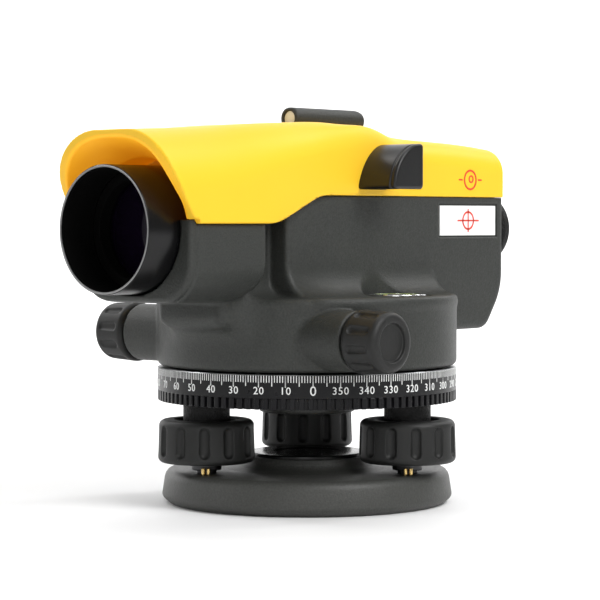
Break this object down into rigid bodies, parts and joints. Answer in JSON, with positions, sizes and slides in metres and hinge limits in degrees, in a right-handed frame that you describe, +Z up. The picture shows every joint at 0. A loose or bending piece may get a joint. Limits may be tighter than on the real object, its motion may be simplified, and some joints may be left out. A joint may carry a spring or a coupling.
{
  "type": "automatic level",
  "caption": "Surveyor's automatic level on a three-screw base with graduated ring, tangent drive, focusing telescope, hanging compensator, circular level and open sight.",
  "frame": {"origin": "centre of the tripod thread at the underside of the base plate", "axes": "+Z up along the standing axis, +X along the telescope from objective to eyepiece, -Y the side of the circular level, +Y the side of the focusing knob"},
  "size_m": [0.207, 0.1374, 0.1446],
  "materials": {
    "cover_yellow": "satin",
    "housing_grey": "fine textured dark coat",
    "hood_black": "gloss",
    "knob_black": "soft matte",
    "cast_black": "satin",
    "ring_black": "satin",
    "steel": "turned",
    "aluminium": "turned",
    "anodised_black": "matt anodised",
    "brass": "polished",
    "bronze": "turned",
    "lens_glass": "polished",
    "window_cream": "polished",
    "magnet": "ground",
    "label": "satin",
    "eyecup_rubber": "matt"
  },
  "bodies": {
    "base": {"base_plate": "cast_black", "thread_bush": "steel", "hub_cap": "cast_black", "spring_plate": "steel", "spring_plate_screws": "steel", "brass_pins": "brass"},
    "leaning_stem": {"footscrew_stem_1": "steel"},
    "knob_1": {"footscrew_knob_1": "knob_black"},
    "screw_2": {"footscrew_stem_2": "steel", "footscrew_knob_2": "knob_black"},
    "screw_3": {"footscrew_stem_3": "steel", "footscrew_knob_3": "knob_black"},
    "tribrach": {"tribrach_body": "cast_black", "footscrew_bushings": "knob_black", "axis_sleeve": "bronze", "clutch_washer": "steel"},
    "circle": {"circle_ring": "ring_black"},
    "wheel": {"tangent_wheel": "bronze"},
    "drive": {"drive_shaft": "steel", "drive_knob_near": "knob_black", "drive_knob_far": "knob_black"},
    "focus_turn": {"focus_shaft": "steel", "focus_knob": "knob_black"},
    "focus_cell": {"focusing_cell": "anodised_black", "focusing_lens": "lens_glass", "focus_rack": "brass"},
    "dioptre": {"dioptre_ring": "anodised_black"},
    "eyepiece": {"eyepiece_barrel": "anodised_black", "eyepiece_field_lens": "lens_glass", "eyepiece_eye_lens": "lens_glass", "eyecup": "eyecup_rubber"},
    "pendulum": {"pendulum_arm": "aluminium", "pendulum_prism": "lens_glass", "suspension_wires": "steel"},
    "housing": {"drive_bushes": "bronze", "main_housing": "housing_grey", "spindle": "steel", "housing_screws": "steel", "bottom_plate": "aluminium", "top_cover": "cover_yellow", "cover_screws": "steel", "objective_tube": "hood_black", "objective_retainer": "anodised_black", "objective_lens_front": "lens_glass", "objective_lens_rear": "lens_glass", "telescope_tube": "anodised_black", "eyepiece_flange": "anodised_black", "reticle_ring": "brass", "reticle_glass": "lens_glass", "compensator_frame": "aluminium", "fixed_prism_front": "lens_glass", "fixed_prism_rear": "lens_glass", "damper_magnet": "magnet", "level_bezel": "steel", "level_vial": "lens_glass", "prism_housing": "hood_black", "level_prism": "lens_glass", "sight_body": "housing_grey", "sight_window": "window_cream", "label_plate": "label"}
  },
  "joints": [
    {"name": "head_tilt_b", "type": "hinge", "parent": "base", "child": "leaning_stem", "pos_m": [0.03099, 0.0279, 0.008], "axis": [-0.7431, -0.6691, 0], "range_deg": [-1.5, 1.5]},
    {"name": "head_tilt_a", "type": "hinge", "parent": "leaning_stem", "child": "tribrach", "pos_m": [-0.03966, 0.01289, 0.008], "axis": [0.6691, -0.7431, 0], "range_deg": [-1.5, 1.5]},
    {"name": "footscrew_1", "type": "hinge", "parent": "leaning_stem", "child": "knob_1", "pos_m": [0.03099, 0.0279, 0.008], "axis": [0, 0, 1], "range_deg": [-787.6, 787.6]},
    {"name": "footscrew_2", "type": "hinge", "parent": "base", "child": "screw_2", "pos_m": [-0.03966, 0.01289, 0.008], "axis": [0, 0, 1], "range_deg": [-454.7, 454.7]},
    {"name": "footscrew_3", "type": "hinge", "parent": "base", "child": "screw_3", "pos_m": [0.00867, -0.04079, 0.008], "axis": [0, 0, 1], "range_deg": [-454.7, 454.7]},
    {"name": "circle_turn", "type": "hinge", "parent": "tribrach", "child": "circle", "pos_m": [0, 0, 0.043], "axis": [0, 0, 1], "continuous": true},
    {"name": "pan_coarse", "type": "hinge", "parent": "tribrach", "child": "wheel", "pos_m": [0, 0, 0.0617], "axis": [0, 0, 1], "continuous": true},
    {"name": "pan_fine", "type": "hinge", "parent": "wheel", "child": "housing", "pos_m": [0, 0, 0.0617], "axis": [0, 0, 1], "continuous": true},
    {"name": "drive_knob", "type": "hinge", "parent": "housing", "child": "drive", "pos_m": [-0.0327, 0, 0.0617], "axis": [0, 1, 0], "continuous": true},
    {"name": "focus", "type": "hinge", "parent": "housing", "child": "focus_turn", "pos_m": [-0.012, 0.03, 0.0985], "axis": [0, 1, 0], "range_deg": [-150, 150]},
    {"name": "focus_slide", "type": "slide", "parent": "housing", "child": "focus_cell", "axis": [1, 0, 0], "range_m": [-0.0078, 0.0078]},
    {"name": "dioptre_turn", "type": "hinge", "parent": "housing", "child": "dioptre", "pos_m": [0.094, 0, 0.1], "axis": [1, 0, 0], "range_deg": [-150, 150]},
    {"name": "eyepiece_slide", "type": "slide", "parent": "housing", "child": "eyepiece", "axis": [1, 0, 0], "range_m": [-0.00143, 0.00143]},
    {"name": "pendulum_swing", "type": "hinge", "parent": "housing", "child": "pendulum", "pos_m": [0.029, 0, 0.1145], "axis": [0, 1, 0], "range_deg": [-0.5, 0.5], "stiffness_Nm_per_rad": 0.004}
  ],
  "couplings": [
    {"joint": "footscrew_1", "follows": "head_tilt_a", "ratio": -524.02},
    {"joint": "footscrew_2", "follows": "head_tilt_b", "ratio": 302.54},
    {"joint": "footscrew_3", "follows": "head_tilt_b", "ratio": -302.54},
    {"joint": "drive_knob", "follows": "pan_fine", "ratio": -112},
    {"joint": "focus", "follows": "focus_slide", "rad_per_m": -333.33},
    {"joint": "dioptre_turn", "follows": "eyepiece_slide", "rad_per_m": 1818.2}
  ]
}
